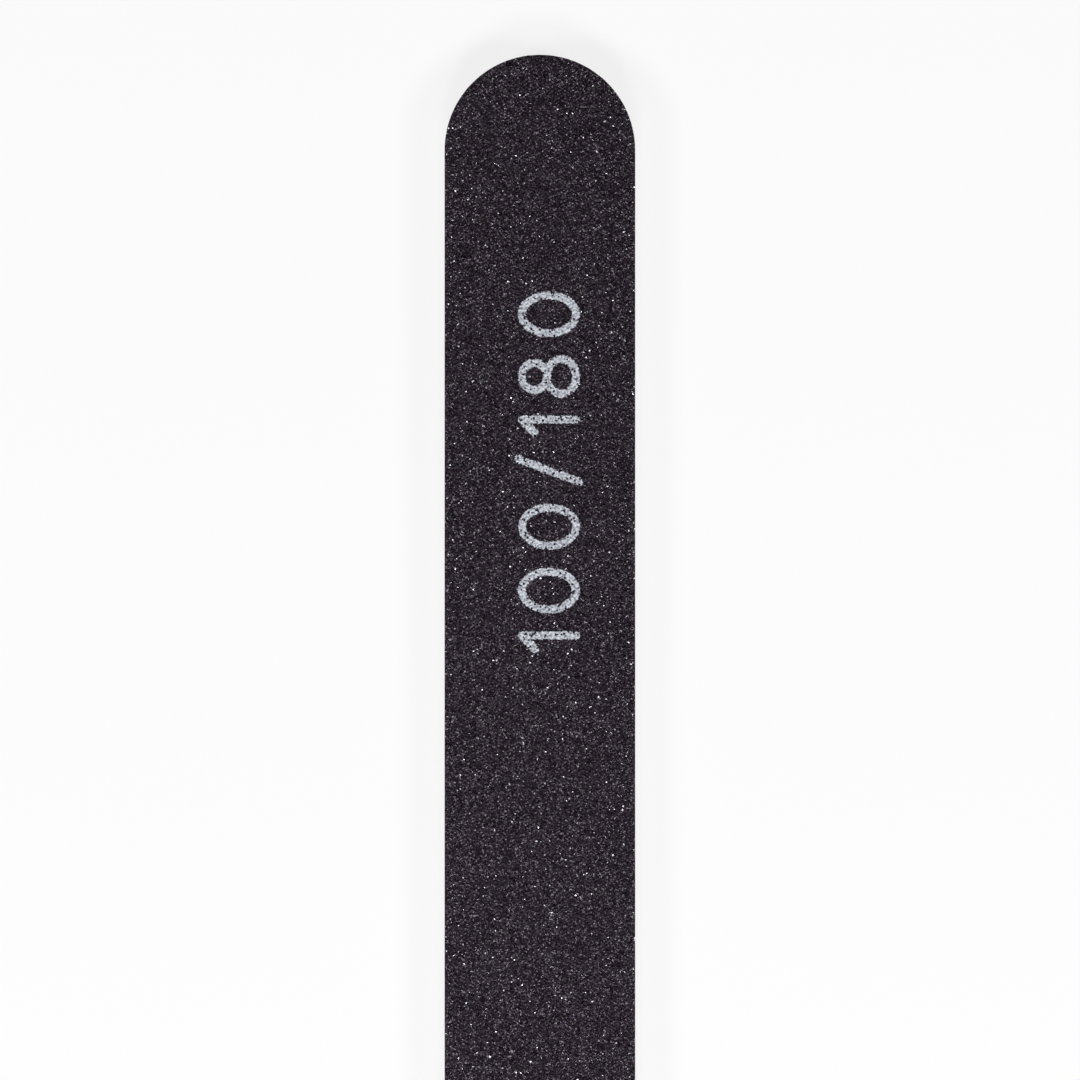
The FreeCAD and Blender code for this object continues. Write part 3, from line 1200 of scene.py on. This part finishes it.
class NAILFILE_OT_stage(Operator):
    """Set the paper cove, the lamps, the ceiling and the camera"""

    bl_idname = "nail_file.stage"
    bl_label = "Set Stage"

    def execute(self, context):
        settings = context.scene.nail_file_stage
        make_cove(settings)
        make_ceiling(settings)
        # Two lamps at the sides and one towards the near end, which the grain brightens to
        far, middle = settings.lamp_distance, HALF_LENGTH / 2
        for name, across, along in (
            ("left_lamp", -far, middle - SIDE_LAMP_SETBACK),
            ("right_lamp", far, middle - SIDE_LAMP_SETBACK),
            ("near_lamp", 0.0, middle - far),
        ):
            make_lamp(name, (across, along, far), settings.lamp_side, settings.lamp_power / 3)
        make_camera(settings)
        context.scene.view_settings.view_transform = "Standard"
        return {"FINISHED"}


class NAILFILE_PT_panel(Panel):
    """The steps that make the nail file, in order"""

    bl_idname = "NAILFILE_PT_panel"
    bl_label = "Nail File"
    bl_space_type = "VIEW_3D"
    bl_region_type = "UI"
    bl_category = "Nail File"

    def draw(self, context):
        for step in STEPS:
            self.layout.operator(step.bl_idname)


STEPS = (
    NAILFILE_OT_core,
    NAILFILE_OT_foam,
    NAILFILE_OT_paper,
    NAILFILE_OT_bonds,
    NAILFILE_OT_grain,
    NAILFILE_OT_print,
    NAILFILE_OT_stage,
)
SETTINGS = {
    "nail_file_core": CoreSettings,
    "nail_file_foam": FoamSettings,
    "nail_file_paper": PaperSettings,
    "nail_file_grain": GrainSettings,
    "nail_file_print": PrintSettings,
    "nail_file_stage": StageSettings,
}


def register():
    for cls in (*SETTINGS.values(), *STEPS, NAILFILE_PT_panel):
        bpy.utils.register_class(cls)
    for name, cls in SETTINGS.items():
        setattr(bpy.types.Scene, name, PointerProperty(type=cls))


def unregister():
    for name in SETTINGS:
        delattr(bpy.types.Scene, name)
    for cls in (NAILFILE_PT_panel, *STEPS, *SETTINGS.values()):
        bpy.utils.unregister_class(cls)


def main():
    register()
    for step in STEPS:
        group, name = step.bl_idname.split(".")
        getattr(getattr(bpy.ops, group), name)()


if __name__ == "__main__":
    main()
